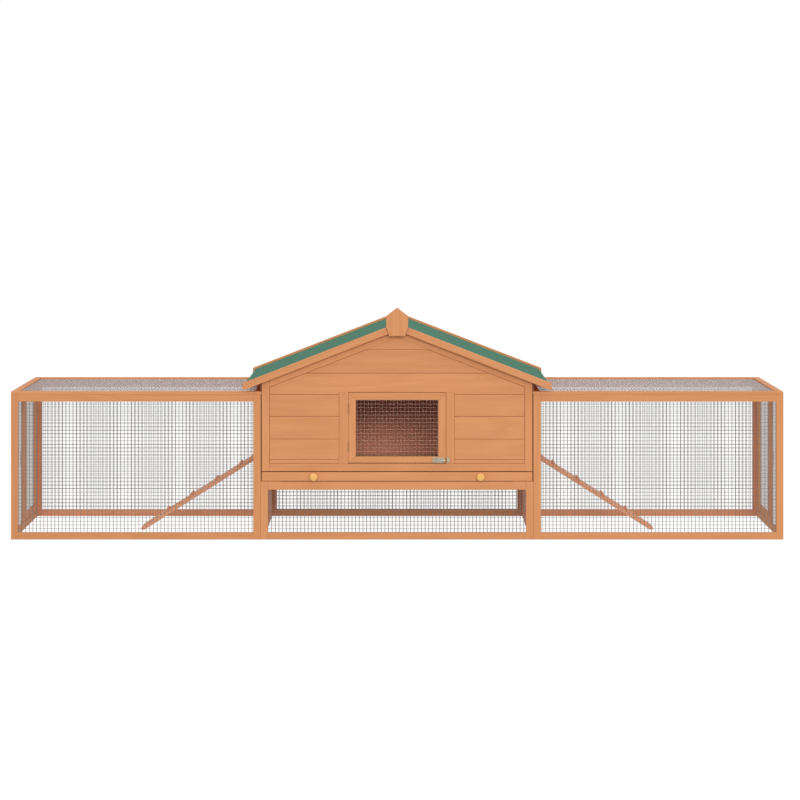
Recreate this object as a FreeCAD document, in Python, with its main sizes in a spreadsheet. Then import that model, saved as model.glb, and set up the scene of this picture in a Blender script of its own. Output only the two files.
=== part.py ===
import FreeCAD, Part
import math
import os
from types import SimpleNamespace

import Sketcher

# Small animal hutch: a raised house with a pull-out tray between two long mesh runs.
# X runs along the width, the front faces -Y and the ground is Z = 0.

SIZES = {
    # House body
    "house_width": 1090,
    "front_gap": 2,
    "run_length": 1005,
    "run_depth": 630,
    "run_height": 594,
    # Planed stock that every mesh frame is made of, with its mesh groove
    "stock_width": 28.5,
    "stock_thickness": 12,
    "groove_depth": 6,
    "groove_width": 2,
    "groove_play": 0.3,
    "mesh_thickness": 1.4,
    "mesh_bar": 2,
    "mesh_square": 100,
    "door_mesh_square": 48,
    # Roof
    "roof_angle": 21.2,
    "roof_clearance": 22.8,
    "roof_overhang": 29,
    "eave_overhang": 61,
    "roof_board_thickness": 12,
    "felt_drop": 2,
    "felt_thickness": 2,
    "felt_hem": 14,
    "barge_width": 28,
    "barge_thickness": 12,
    "barge_overhang": 13,
    # Finial plate over the front bargeboards
    "finial_thickness": 12,
    "finial_rise": 63,
    "finial_shoulder": 34,
    "finial_cheek": 45,
    "finial_foot": 35,
    "finial_half_width": 44,
    "finial_foot_half_width": 31.5,
    # Front and back walls
    "wall_rail_width": 33,
    "post_width": 32.5,
    "gable_trim_width": 39,
    "board_thickness": 10,
    "board_recess": 2,
    "board_pitch": 88,
    "board_bevel": 1.5,
    "first_joint": 14.5,
    "least_row": 20,
    # House door
    "door_width": 393,
    "door_height": 285.5,
    "door_gap": 2,
    "surround_width": 34,
    # Openings in the side walls
    "doorway_width": 180,
    "pop_hole_width": 180,
    "pop_hole_inset": 40,
    "batten_thickness": 12,
    # Mesh base under the house
    "base_height": 230,
    # Tray and what carries it
    "tray_back_gap": 16,
    "tray_rim": 34,
    "tray_sheet": 1.2,
    "tray_lift": 2,
    "tray_front_height": 38,
    "tray_front_gap": 1.8,
    "slide_play": 0.3,
    "side_play": 1,
    "ledge_height": 20,
    "ledge_lap": 20,
    "fence_width": 68,
    "fence_height": 36,
    "knob_spacing": 670,
    "knob_radius": 16,
    "knob_head": 11,
    "knob_chamfer": 3,
    "knob_neck_radius": 8,
    "knob_waist_radius": 6.5,
    "knob_neck": 10,
    # End panels and their doors
    "end_stile_width": 42.5,
    "end_stile_offset": 44.75,
    # Butt hinges
    "knuckle_radius": 2,
    "pin_radius": 1,
    "pin_play": 0.05,
    "leaf_thickness": 0.8,
    "leaf_width": 12,
    "leaf_length": 42,
    "knuckle_gap": 0.4,
    "hinge_inset": 45,
    # Barrel bolt of the house door
    "latch_length": 48,
    "latch_height": 22,
    "latch_inset": 5.5,
    "latch_plate": 1.2,
    "guide_length": 8,
    "guide_height": 12,
    "guide_depth": 10,
    "guide_inset": 5,
    "bolt_radius": 3,
    "bolt_play": 0.08,
    "bolt_tip_setback": 0.5,
    "bolt_grip_place": 17,
    "bolt_grip_radius": 2.4,
    "bolt_grip_length": 9,
    "bolt_button_radius": 4,
    "bolt_button_length": 4,
    "keeper_gap": 4.5,
    "keeper_width": 12,
    "keeper_play": 0.4,
    # Turn buttons of the end doors
    "button_length": 58,
    "button_width": 12,
    "button_thickness": 6,
    "button_play": 0.3,
    "button_inset": 12,
    "screw_radius": 1.8,
    "screw_depth": 9,
    "screw_head_radius": 4,
    "screw_head_height": 2.4,
    # Ramps
    "ramp_angle": 32.3,
    "ramp_width": 140,
    "ramp_thickness": 9,
    "ramp_pin_rise": 3.4,
    "ramp_start": 4,
    "ground_play": 0.3,
    "cleat_start": 110,
    "cleat_end": 126.8,
    "cleat_width": 11,
    "cleat_height": 10,
    # How far a cutting solid runs past what it cuts
    "overrun": 5,
}

COUNTS = {"cleats": 4}


class Measure:
    """A number together with the rule that gives it from the size sheet."""

    def __init__(self, value, rule):
        self.value = value
        self.rule = rule

    def __add__(self, other):
        return joined(self, "+", other)

    def __radd__(self, other):
        return joined(other, "+", self)

    def __sub__(self, other):
        return joined(self, "-", other)

    def __rsub__(self, other):
        return joined(other, "-", self)

    def __mul__(self, other):
        return joined(self, "*", other)

    def __rmul__(self, other):
        return joined(other, "*", self)

    def __truediv__(self, other):
        return joined(self, "/", other)

    def __rtruediv__(self, other):
        return joined(other, "/", self)

    def __neg__(self):
        return joined(-1, "*", self)


def measure(item):
    return item if isinstance(item, Measure) else Measure(float(item), repr(item))


def joined(first, sign, second):
    first = measure(first)
    second = measure(second)
    results = {
        "+": lambda: first.value + second.value,
        "-": lambda: first.value - second.value,
        "*": lambda: first.value * second.value,
        "/": lambda: first.value / second.value,
    }
    return Measure(results[sign](), f"({first.rule} {sign} {second.rule})")


def sine(angle):
    return Measure(math.sin(math.radians(angle.value)), f"sin({angle.rule})")


def cosine(angle):
    return Measure(math.cos(math.radians(angle.value)), f"cos({angle.rule})")


def tangent(angle):
    return Measure(math.tan(math.radians(angle.value)), f"tan({angle.rule})")


doc = FreeCAD.newDocument("Hutch")
sheet = doc.addObject("Spreadsheet::Sheet", "Sizes")
for line, (name, number) in enumerate(SIZES.items(), start=1):
    sheet.set(f"A{line}", name)
    sheet.set(f"B{line}", str(number))
    sheet.setAlias(f"B{line}", name)
doc.recompute()
s = SimpleNamespace(**{name: Measure(float(number), f"Sizes.{name}") for name, number in SIZES.items()})

ACROSS = FreeCAD.Vector(1, 0, 0)
DEEP = FreeCAD.Vector(0, 1, 0)
UP = FreeCAD.Vector(0, 0, 1)
SQUARE = FreeCAD.Rotation()
LYING = FreeCAD.Rotation(ACROSS, -90)
POINTING_FRONT = FreeCAD.Rotation(ACROSS, 90)
POINTING_RIGHT = FreeCAD.Rotation(DEEP, 90)
FACING_LEFT = FreeCAD.Rotation(UP, -90)
FACING_RIGHT = FreeCAD.Rotation(UP, 90)
ORIGIN = (0, 0, 0)

nodes = []


def bind(item, prop, size):
    item.setExpression(prop, measure(size).rule)


def place(item, corner, turn=SQUARE):
    """Turn an object, and tie its place to the sheet."""
    item.Placement = FreeCAD.Placement(FreeCAD.Vector(), turn)
    for letter, size in zip("xyz", corner):
        bind(item, f"Placement.Base.{letter}", size)
    return item


def block(corner, span):
    """A straight piece of timber, from its low corner and its three spans."""
    item = doc.addObject("Part::Box", "Block")
    for prop, size in zip(("Length", "Width", "Height"), span):
        bind(item, prop, size)
    return place(item, corner)


def rod(start, radius, length, turn=SQUARE):
    item = doc.addObject("Part::Cylinder", "Rod")
    bind(item, "Radius", radius)
    bind(item, "Height", length)
    return place(item, start, turn)


def cut(base, tool):
    item = doc.addObject("Part::Cut", "Cut")
    item.Base = base
    item.Tool = tool
    return item


def fuse(pieces):
    item = doc.addObject("Part::MultiFuse", "Fusion")
    item.Shapes = pieces
    item.Refine = True
    return item


def node(name, pieces, corner=ORIGIN, turn=SQUARE):
    """A named sub-part: one solid, or a set of boards that stay separate solids."""
    if len(pieces) == 1:
        item = pieces[0]
    else:
        item = doc.addObject("Part::Compound", "Set")
        item.Links = pieces
        place(item, corner, turn)
    item.Label = name
    nodes.append(item)
    return item


def draw(body, role, points):
    """A closed outline on one of the body's own planes, each corner tied to the sheet."""
    sketch = body.newObject("Sketcher::SketchObject", "Outline")
    plane = [item for item in body.Origin.OriginFeatures if item.Role == role][0]
    sketch.AttachmentSupport = (plane, [""])
    sketch.MapMode = "FlatFace"
    corners = [FreeCAD.Vector(measure(u).value, measure(v).value, 0) for u, v in points]
    for index, corner in enumerate(corners):
        sketch.addGeometry(Part.LineSegment(corner, corners[(index + 1) % len(corners)]))
    for index in range(len(corners)):
        sketch.addConstraint(Sketcher.Constraint("Coincident", index, 2, (index + 1) % len(corners), 1))
    for index, point in enumerate(points):
        for kind, size in zip(("DistanceX", "DistanceY"), point):
            number = sketch.addConstraint(Sketcher.Constraint(kind, -1, 1, index, 1, measure(size).value))
            sketch.setExpression(f"Constraints[{number}]", measure(size).rule)
    return sketch


def prism(role, points, length, corner=ORIGIN, turn=SQUARE):
    """An outline padded along +Z, +Y or +X, for the XY, XZ or YZ plane."""
    body = doc.addObject("PartDesign::Body", "Prism")
    pad = body.newObject("PartDesign::Pad", "Pad")
    pad.Profile = draw(body, role, points)
    pad.Reversed = role == "XZ_Plane"
    bind(pad, "Length", length)
    return place(body, corner, turn)


# Levels and places that several pieces share

half_house = s.house_width / 2
half_front = half_house - s.front_gap
middle_y = s.finial_thickness / 2
front_y = middle_y - s.run_depth / 2
back_y = middle_y + s.run_depth / 2
inner_front_y = front_y + s.stock_thickness
inner_back_y = back_y - s.stock_thickness
inner_depth = s.run_depth - 2 * s.stock_thickness
run_end = half_house + s.run_length
post_inner = half_front - s.post_width
wall_inner = half_house - s.board_thickness
tray_low = s.base_height + s.tray_lift
wall_foot = tray_low + s.tray_sheet + s.tray_front_height + s.tray_front_gap
sill_z = wall_foot + s.wall_rail_width
door_top_z = sill_z + s.door_height
door_half = s.door_width / 2
surround_half = door_half + s.surround_width

# The roof stands clear of the runs, which it overhangs
slope = tangent(s.roof_angle)
slant = 1 / cosine(s.roof_angle)
roof_reach = half_house + s.eave_overhang
barge_reach = roof_reach + s.barge_overhang
hem_low = s.run_height + s.roof_clearance
board_top = hem_low + s.felt_hem + roof_reach * slope
felt_top = board_top + s.felt_thickness * slant
ridge_height = felt_top + s.felt_drop
roof_under = board_top - s.roof_board_thickness * slant
trim_low = roof_under - s.gable_trim_width * slant
eave_z = roof_under - half_house * slope
roof_front = front_y - s.roof_overhang + s.barge_thickness
roof_depth = s.run_depth + 2 * s.roof_overhang - 2 * s.barge_thickness



def full_rows(span):
    """Whole board rows that fit in a height, with a narrower row left over."""
    return math.floor((span.value - s.least_row.value) / s.board_pitch.value)


# Board joints climb from the sill by one pitch, until the gable's apex plate covers the rest.
gable_rows = full_rows(trim_low - sill_z - s.first_joint)
plate_z = sill_z + s.first_joint + gable_rows * s.board_pitch
rows_below_sill = full_rows(sill_z)
doorway_rows = full_rows(eave_z - sill_z)
doorway_height = doorway_rows * s.board_pitch


def under(level, distance):
    """Height of a roof line that starts from a level at the ridge."""
    return level - distance * slope


def gable_points(level, half_width, top):
    return [
        (-half_width, under(level, half_width)),
        (0, level),
        (half_width, under(level, half_width)),
        (half_width, top),
        (-half_width, top),
    ]


# Space above the underside of the roof, which trims every wall piece
past_front = front_y - s.overrun
past_depth = s.run_depth + 2 * s.overrun
roof_space = prism("XZ_Plane", gable_points(roof_under, roof_reach, ridge_height), past_depth,
                   (0, past_front, 0))

# Space above the lower edge of the gable trims and the apex plate, which trims the boards
plate_half = (trim_low - plate_z) / slope
trim_points = [
    (-roof_reach, under(trim_low, roof_reach)),
    (-plate_half, plate_z),
    (plate_half, plate_z),
    (roof_reach, under(trim_low, roof_reach)),
    (roof_reach, ridge_height),
    (-roof_reach, ridge_height),
]
trim_space = prism("XZ_Plane", trim_points, past_depth, (0, past_front, 0))


def plank(outer, inward, low, height, start, length, along):
    """A wall board with bevelled outer edges, lying along X or Y."""
    back = outer + inward * s.board_thickness
    shoulder = outer + inward * s.board_bevel
    points = [
        (outer, low + s.board_bevel),
        (shoulder, low),
        (back, low),
        (back, low + height),
        (shoulder, low + height),
        (outer, low + height - s.board_bevel),
    ]
    if along == "x":
        return prism("YZ_Plane", points, length, (start, 0, 0))
    return prism("XZ_Plane", points, length, (0, start, 0))


def outer_face(is_front, inset):
    return front_y + inset if is_front else back_y - inset


def slab_y(is_front, inset, thickness):
    """Low Y of a piece that lies an inset behind the front or back plane."""
    return front_y + inset if is_front else back_y - inset - thickness


def gable_frame(is_front, foot):
    """Two posts under the roof slopes and the rail between them."""
    y = slab_y(is_front, 0, s.stock_thickness)
    height = ridge_height - foot
    posts = []
    for low_x in (-half_front, post_inner):
        posts.append(cut(block((low_x, y, foot), (s.post_width, s.stock_thickness, height)), roof_space))
    rail = block((-post_inner, y, foot), (2 * post_inner, s.stock_thickness, s.wall_rail_width))
    return posts + [rail]


def gable_trims(is_front):
    """Sloping trims that meet at the ridge, and the apex plate between them."""
    y = slab_y(is_front, 0, s.stock_thickness)
    pieces = []
    for side in (-1, 1):
        points = [
            (0, trim_low),
            (side * post_inner, under(trim_low, post_inner)),
            (side * post_inner, under(roof_under, post_inner)),
            (0, roof_under),
        ]
        pieces.append(prism("XZ_Plane", points, s.stock_thickness, (0, y, 0)))
    plate = [(-plate_half, plate_z), (plate_half, plate_z), (0, trim_low)]
    pieces.append(prism("XZ_Plane", plate, s.stock_thickness, (0, y, 0)))
    return pieces


def wall_rows(foot):
    """Low and high edges of the board rows of a gable wall, from the rail up."""
    joints = [sill_z + s.first_joint + row * s.board_pitch for row in range(gable_rows + 1)]
    edges = [foot + s.wall_rail_width] + joints
    return list(zip(edges[:-1], edges[1:]))


def gable_boards(is_front, foot):
    outer = outer_face(is_front, s.board_recess)
    inward = 1 if is_front else -1
    boards = []
    for low, high in wall_rows(foot):
        for start, end, bottom in row_spans(is_front, low, high):
            board = plank(outer, inward, bottom, high - bottom, start, end - start, "x")
            boards.append(cut(board, trim_space))
    return boards


def row_spans(is_front, low, high):
    """Each board of a row as its two ends and its lower edge."""
    if not is_front or low.value >= door_top_z.value:
        return [(-post_inner, post_inner, low)]
    spans = [(-post_inner, -surround_half, low), (surround_half, post_inner, low)]
    if high.value > door_top_z.value:
        spans.append((-surround_half, surround_half, door_top_z))
    return spans


def sided(side, near, far):
    """Low X of a piece that spans from near to far of the middle, on one side."""
    return near if side > 0 else -far


# Frames of planed stock: x along the panel, z up it and y through it

def frame_boards(width, height, corner=ORIGIN):
    x, y, z = corner
    stock = s.stock_width
    thick = s.stock_thickness
    inside = width - 2 * stock
    return [
        block((x, y, z), (stock, thick, height)),
        block((x + width - stock, y, z), (stock, thick, height)),
        block((x + stock, y, z), (inside, thick, stock)),
        block((x + stock, y, z + height - stock), (inside, thick, stock)),
    ]


def groove(corner, width, height):
    """Groove that runs round an opening in the middle of the stock's thickness."""
    x, y, z = corner
    low_y = y + (s.stock_thickness - s.groove_width) / 2
    span = (width + 2 * s.groove_depth, s.groove_width, height + 2 * s.groove_depth)
    return block((x - s.groove_depth, low_y, z - s.groove_depth), span)


def wire_grid(name, corner, width, height, square, panel_corner=ORIGIN, turn=SQUARE):
    """Welded wire panel: bars at an even pitch, with its rim held in the groove."""
    x, y, z = [measure(item).value for item in corner]
    bar = s.mesh_bar.value
    rim = s.groove_depth.value - s.groove_play.value
    columns = max(1, round(width.value / square.value))
    rows = max(1, round(height.value / square.value))
    hole_width = (width.value - (columns - 1) * bar) / columns
    hole_height = (height.value - (rows - 1) * bar) / rows
    wires = [rectangle(x - rim, z - rim, width.value + 2 * rim, height.value + 2 * rim)]
    for column in range(columns):
        for row in range(rows):
            hole_x = x + column * (hole_width + bar)
            hole_z = z + row * (hole_height + bar)
            wires.append(rectangle(hole_x, hole_z, hole_width, hole_height))
    face = Part.makeFace(Part.makeCompound(wires), "Part::FaceMakerBullseye")
    low_y = y + (s.stock_thickness.value - s.mesh_thickness.value) / 2
    face.translate(FreeCAD.Vector(0, low_y, 0))
    item = doc.addObject("Part::Feature", "Grid")
    item.Shape = face.extrude(FreeCAD.Vector(0, s.mesh_thickness.value, 0))
    place(item, panel_corner, turn)
    item.Label = name
    nodes.append(item)
    return item


def rectangle(x, z, width, height):
    corners = [(x, z), (x + width, z), (x + width, z + height), (x, z + height), (x, z)]
    return Part.makePolygon([FreeCAD.Vector(u, 0, v) for u, v in corners])


def mesh_panel(frame_name, mesh_name, width, height, square, corner, turn=SQUARE):
    """A frame with wire mesh let into its groove."""
    opening = (s.stock_width, 0, s.stock_width)
    opening_width = width - 2 * s.stock_width
    opening_height = height - 2 * s.stock_width
    slot = groove(opening, opening_width, opening_height)
    boards = [cut(board, slot) for board in frame_boards(width, height)]
    node(frame_name, boards, corner, turn)
    wire_grid(mesh_name, opening, opening_width, opening_height, square, corner, turn)


# Hinges: the pin stands on the local Z axis, the fixed leaf is on the -X side and the moving one on +X

def knuckle(low, height):
    return rod((0, 0, low), s.knuckle_radius, height)


def face_leaf(side, near, far, low, height):
    """Part of a leaf that lies against the plane behind the pin."""
    corner = (sided(side, near, far), s.knuckle_radius - s.leaf_thickness, low)
    return block(corner, (far - near, s.leaf_thickness, height))


def edge_leaf(side, near, far, low, height):
    """Part of a leaf that lies in the gap beside the door's edge."""
    half_gap = s.door_gap / 2
    corner = (sided(side, half_gap - s.leaf_thickness, half_gap), near, low)
    return block(corner, (s.leaf_thickness, far - near, height))


def hinge_parts():
    """Spans of the three knuckles, from the bottom of the pin."""
    third = s.leaf_length / 3
    half_gap = s.knuckle_gap / 2
    lower = (0, third - half_gap)
    centre = (third + half_gap, third - s.knuckle_gap)
    upper = (2 * third + half_gap, third - half_gap)
    return lower, centre, upper


def fixed_leaf(corner, turn, leaf=face_leaf):
    """Leaf with the two outer knuckles and the riveted pin."""
    lower, centre, upper = hinge_parts()
    clear = s.knuckle_radius + s.knuckle_gap
    pieces = [leaf(-1, clear, s.leaf_width, 0, s.leaf_length)]
    for low, height in (lower, upper):
        pieces.append(leaf(-1, 0, clear, low, height))
        pieces.append(knuckle(low, height))
    pieces.append(rod(ORIGIN, s.pin_radius, s.leaf_length))
    return place(fuse(pieces), corner, turn)


def moving_leaf(corner, turn, leaf=face_leaf):
    """Leaf with the middle knuckle, bored for the pin."""
    low, height = hinge_parts()[1]
    clear = s.knuckle_radius + s.knuckle_gap
    body = fuse([
        leaf(1, clear, s.leaf_width, 0, s.leaf_length),
        leaf(1, 0, clear, low, height),
        knuckle(low, height),
    ])
    bore = rod(ORIGIN, s.pin_radius + s.pin_play, s.leaf_length)
    return place(cut(body, bore), corner, turn)


fixed_leaves = []


def hinge_pair(corner, height, turn, leaf=face_leaf, upside_down=False):
    """Two hinges on one pin line; upside down, their moving leaves are on the pin's other side."""
    x, y, z = corner
    leaves = []
    for low in (z + s.hinge_inset, z + height - s.hinge_inset - s.leaf_length):
        start = (x, y, low)
        if upside_down:
            start = (x, y, low + s.leaf_length)
        hinge_turn = turn * FreeCAD.Rotation(DEEP, 180) if upside_down else turn
        fixed_leaves.append(fixed_leaf(start, hinge_turn, leaf))
        leaves.append(moving_leaf(start, hinge_turn, leaf))
    return leaves


# House: front and back gable walls

node("front_frame", gable_frame(True, wall_foot))
node("front_gable_trims", gable_trims(True))
node("front_boards", gable_boards(True, wall_foot))
surround = []
for side in (-1, 1):
    corner = (sided(side, door_half, surround_half), front_y, sill_z)
    surround.append(block(corner, (s.surround_width, s.stock_thickness, s.door_height)))
node("door_surround", surround)
node("back_frame", gable_frame(False, s.base_height) + gable_trims(False))
node("back_boards", gable_boards(False, s.base_height))


# House: side walls with a doorway to the ramp and a pop hole at the ground

doorway_low = middle_y - s.doorway_width / 2
doorway_high = middle_y + s.doorway_width / 2
pop_low = inner_front_y + s.pop_hole_inset
pop_high = pop_low + s.pop_hole_width


def side_rows():
    """Row edges of a side wall: whole pitches down and up from the sill, with short rows at the ends."""
    edges = [measure(0)]
    edges += [sill_z - row * s.board_pitch for row in range(rows_below_sill, 0, -1)]
    edges += [sill_z + row * s.board_pitch for row in range(doorway_rows + 1)]
    edges.append(eave_z)
    return list(zip(edges[:-1], edges[1:]))


def side_wall(side):
    boards = []
    for row, (low, high) in enumerate(side_rows()):
        spans = [(inner_front_y, inner_back_y)]
        if 0 < row < rows_below_sill:
            spans = [(inner_front_y, pop_low), (pop_high, inner_back_y)]
        if rows_below_sill < row <= rows_below_sill + doorway_rows:
            spans = [(inner_front_y, doorway_low), (doorway_high, inner_back_y)]
        for start, end in spans:
            boards.append(plank(side * half_house, -side, low, high - low, start, end - start, "y"))
    return boards


def side_battens(side):
    """Uprights inside the wall, at both corners and both jambs of the doorway."""
    foot = fence_top
    near = wall_inner - s.batten_thickness
    lows = (inner_front_y, doorway_low - s.stock_width, doorway_high, inner_back_y - s.stock_width)
    span = (s.batten_thickness, s.stock_width, eave_z - foot)
    return [block((sided(side, near, wall_inner), low, foot), span) for low in lows]


# Tray levels, and its width between the fences

ledge_top = tray_low - s.slide_play
fence_top = ledge_top + s.fence_height
fence_near = wall_inner - s.fence_width
tray_half = fence_near - s.side_play
tray_depth = inner_depth - s.tray_back_gap

for side, name in ((-1, "left"), (1, "right")):
    node(f"{name}_wall_boards", side_wall(side))
    node(f"{name}_wall_battens", side_battens(side))


# House: mesh base under the front and back walls

mesh_panel("base_front_frame", "base_front_mesh", 2 * half_front, s.base_height, s.mesh_square,
           (-half_front, front_y, 0))
mesh_panel("base_back_frame", "base_back_mesh", 2 * half_front, s.base_height, s.mesh_square,
           (-half_front, inner_back_y, 0))


# Tray, pulled out to the front, and the runners that carry it

def tray_runners():
    """A ledge under each edge of the pan, a fence beside it and a bearer under the middle."""
    pieces = []
    ledge_near = tray_half - s.ledge_lap
    for side in (-1, 1):
        ledge = (sided(side, ledge_near, wall_inner), inner_front_y, ledge_top - s.ledge_height)
        pieces.append(block(ledge, (wall_inner - ledge_near, inner_depth, s.ledge_height)))
        fence = (sided(side, fence_near, wall_inner), inner_front_y + s.slide_play, ledge_top)
        fence_depth = inner_depth - s.slide_play
        pieces.append(block(fence, (wall_inner - fence_near, fence_depth, s.fence_height)))
    bearer = (-s.stock_width / 2, inner_front_y, ledge_top - s.ledge_height)
    pieces.append(block(bearer, (s.stock_width, inner_depth, s.ledge_height)))
    return pieces


def tray_pan():
    """Sheet-metal pan: a box with an open top, and a lip that laps under the wooden front."""
    sheet_metal = s.tray_sheet
    outer = block((-tray_half, inner_front_y, tray_low), (2 * tray_half, tray_depth, s.tray_rim))
    inner = block((-tray_half + sheet_metal, inner_front_y + sheet_metal, tray_low + sheet_metal),
                  (2 * tray_half - 2 * sheet_metal, tray_depth - 2 * sheet_metal, s.tray_rim))
    lip = block((-tray_half, front_y, tray_low), (2 * tray_half, s.stock_thickness, sheet_metal))
    return fuse([cut(outer, inner), lip])


def tray_knob(x):
    """Turned knob: a waisted neck and a head with bevelled rims."""
    body = doc.addObject("PartDesign::Body", "Knob")
    neck = body.newObject("PartDesign::AdditiveCone", "Neck")
    bind(neck, "Radius1", s.knob_neck_radius)
    bind(neck, "Radius2", s.knob_waist_radius)
    bind(neck, "Height", s.knob_neck)
    head = body.newObject("PartDesign::AdditiveCylinder", "Head")
    bind(head, "Radius", s.knob_radius)
    bind(head, "Height", s.knob_head)
    bind(head, "AttachmentOffset.Base.z", s.knob_neck)
    head.MapMode = "ObjectXY"
    head.AttachmentSupport = (neck, [""])
    doc.recompute()
    rims = []
    for index, edge in enumerate(head.Shape.Edges, start=1):
        is_circle = isinstance(edge.Curve, Part.Circle)
        if is_circle and edge.Curve.Radius > s.knob_neck_radius.value:
            rims.append(f"Edge{index}")
    chamfer = body.newObject("PartDesign::Chamfer", "Chamfer")
    chamfer.Base = (head, rims)
    bind(chamfer, "Size", s.knob_chamfer)
    knob_z = tray_low + s.tray_sheet + s.tray_front_height / 2
    return place(body, (x, front_y, knob_z), POINTING_FRONT)


node("tray_runners", tray_runners())
node("tray_pan", [tray_pan()])
tray_front = block((-half_front, front_y, tray_low + s.tray_sheet),
                   (2 * half_front, s.stock_thickness, s.tray_front_height))
node("tray_front", [tray_front])
node("tray_knobs", [tray_knob(side * s.knob_spacing / 2) for side in (-1, 1)])


# House door, hinged on its left edge, with a barrel bolt at its lower right corner

door_leaf_width = s.door_width - 2 * s.door_gap
door_leaf_height = s.door_height - 2 * s.door_gap
door_leaf_left = -door_half + s.door_gap
door_leaf_low = sill_z + s.door_gap
mesh_panel("house_door_frame", "house_door_mesh", door_leaf_width, door_leaf_height, s.door_mesh_square,
           (door_leaf_left, front_y, door_leaf_low))
pin_y = front_y - s.knuckle_radius
house_pin = (-door_half + s.door_gap / 2, pin_y, door_leaf_low)
node("house_door_hinge_leaves", hinge_pair(house_pin, door_leaf_height, SQUARE, edge_leaf))


# Barrel bolt: the plate and its guides on the door, the bolt in them and the keeper beside the door

latch_right = door_half - s.door_gap - s.latch_inset
latch_left = latch_right - s.latch_length
latch_z = door_leaf_low + s.latch_height / 2
plate_face = front_y - s.latch_plate
bolt_y = plate_face - s.guide_depth / 2
guide_z = latch_z - s.guide_height / 2
bolt_tip = door_half - s.door_gap - s.bolt_tip_setback


def bolt_guide(low_x, length):
    return block((low_x, plate_face - s.guide_depth, guide_z), (length, s.guide_depth, s.guide_height))


def latch_plate(low_x, length):
    return block((low_x, plate_face, latch_z - s.latch_height / 2), (length, s.latch_plate, s.latch_height))


def latch_body():
    first = bolt_guide(latch_left + s.guide_inset, s.guide_length)
    last = bolt_guide(latch_right - s.guide_length, s.guide_length)
    bore = rod((latch_left, bolt_y, latch_z), s.bolt_radius + s.bolt_play, s.latch_length, POINTING_RIGHT)
    return cut(fuse([latch_plate(latch_left, s.latch_length), first, last]), bore)


def latch_bolt():
    """Round bolt with a grip and a button to slide it by."""
    grip_x = latch_left + s.bolt_grip_place
    shaft = rod((latch_left, bolt_y, latch_z), s.bolt_radius, bolt_tip - latch_left, POINTING_RIGHT)
    grip = rod((grip_x, bolt_y, latch_z), s.bolt_grip_radius, s.bolt_grip_length, POINTING_FRONT)
    button = rod((grip_x, bolt_y - s.bolt_grip_length, latch_z), s.bolt_button_radius, s.bolt_button_length,
                 POINTING_FRONT)
    return fuse([shaft, grip, button])


def latch_keeper():
    keeper_x = door_half + s.keeper_gap - s.door_gap
    loop = bolt_guide(keeper_x, s.keeper_width)
    opening = rod((keeper_x, bolt_y, latch_z), s.bolt_radius + s.keeper_play, s.keeper_width, POINTING_RIGHT)
    return cut(fuse([latch_plate(keeper_x, s.keeper_width), loop]), opening)


node("latch_body", [latch_body()])
node("latch_bolt", [latch_bolt()])
node("latch_keeper", [latch_keeper()])


# Runs: each is a kit of four mesh panels, with a door in the rear half of the end panel

panel_height = s.run_height - s.stock_thickness
end_opening_height = panel_height - 2 * s.stock_width
fixed_mesh_width = (inner_depth - s.end_stile_width) / 2 - s.stock_width - s.end_stile_offset
fixed_mesh_y = inner_front_y + s.stock_width
end_stile_y = fixed_mesh_y + fixed_mesh_width
end_door_y = end_stile_y + s.end_stile_width
end_hinge_y = inner_back_y - s.stock_width
button_y = end_door_y - s.button_inset
button_z = panel_height / 2


def end_corner(side, low_y, high_y, z=0):
    """Corner that a piece of an end is placed by: the rear one on the left, the front one on the right."""
    return (side * run_end, low_y if side > 0 else high_y, z)


def end_place(side, low_y, high_y):
    """Where a span of an end panel starts, measured along the panel."""
    return low_y - inner_front_y if side > 0 else inner_back_y - high_y


def end_panel(name, side, turn):
    """Frame with fixed mesh in front of its middle stile and a door opening behind it."""
    opening = (end_place(side, fixed_mesh_y, end_stile_y), 0, s.stock_width)
    slot = groove(opening, fixed_mesh_width, end_opening_height)
    boards = [cut(board, slot) for board in frame_boards(inner_depth, panel_height)]
    stile = block((end_place(side, end_stile_y, end_door_y), 0, s.stock_width),
                  (s.end_stile_width, s.stock_thickness, end_opening_height))
    screw_hole = rod((end_place(side, button_y, button_y), s.screw_depth, button_z),
                     s.screw_radius + s.pin_play, s.screw_depth + s.overrun, POINTING_FRONT)
    boards.append(cut(cut(stile, slot), screw_hole))
    corner = end_corner(side, inner_front_y, inner_back_y)
    node(f"{name}_run_end_frame", boards, corner, turn)
    wire_grid(f"{name}_run_end_mesh", opening, fixed_mesh_width, end_opening_height, s.mesh_square,
              corner, turn)


def end_door(name, side, turn):
    """Mesh door hinged at its rear edge, with its turn button."""
    low_y = end_door_y + s.door_gap
    high_y = end_hinge_y - s.door_gap
    low_z = s.stock_width + s.door_gap
    leaf_height = end_opening_height - 2 * s.door_gap
    mesh_panel(f"{name}_run_door_frame", f"{name}_run_door_mesh", high_y - low_y, leaf_height, s.mesh_square,
               end_corner(side, low_y, high_y, low_z), turn)
    pin = (side * (run_end + s.knuckle_radius), end_hinge_y - s.door_gap / 2, low_z)
    node(f"{name}_run_door_hinge_leaves", hinge_pair(pin, leaf_height, turn, upside_down=side > 0))
    button = place(turn_button(), (side * (run_end + s.button_play), button_y, button_z), turn)
    node(f"{name}_run_button", [button])
    screws.append(place(button_screw(), (side * run_end, button_y, button_z), turn))


def turn_button():
    """Wooden bar with round ends, bored for its screw: x across it, z along it, y through it."""
    half = s.button_length / 2
    end = half - s.button_width / 2
    pieces = [block((-s.button_width / 2, -s.button_thickness, -end),
                    (s.button_width, s.button_thickness, 2 * end))]
    for z in (-end, end):
        pieces.append(rod((0, 0, z), s.button_width / 2, s.button_thickness, POINTING_FRONT))
    bore = rod((0, s.overrun, 0), s.screw_radius + s.pin_play, s.button_thickness + 2 * s.overrun,
               POINTING_FRONT)
    return cut(fuse(pieces), bore)


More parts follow.
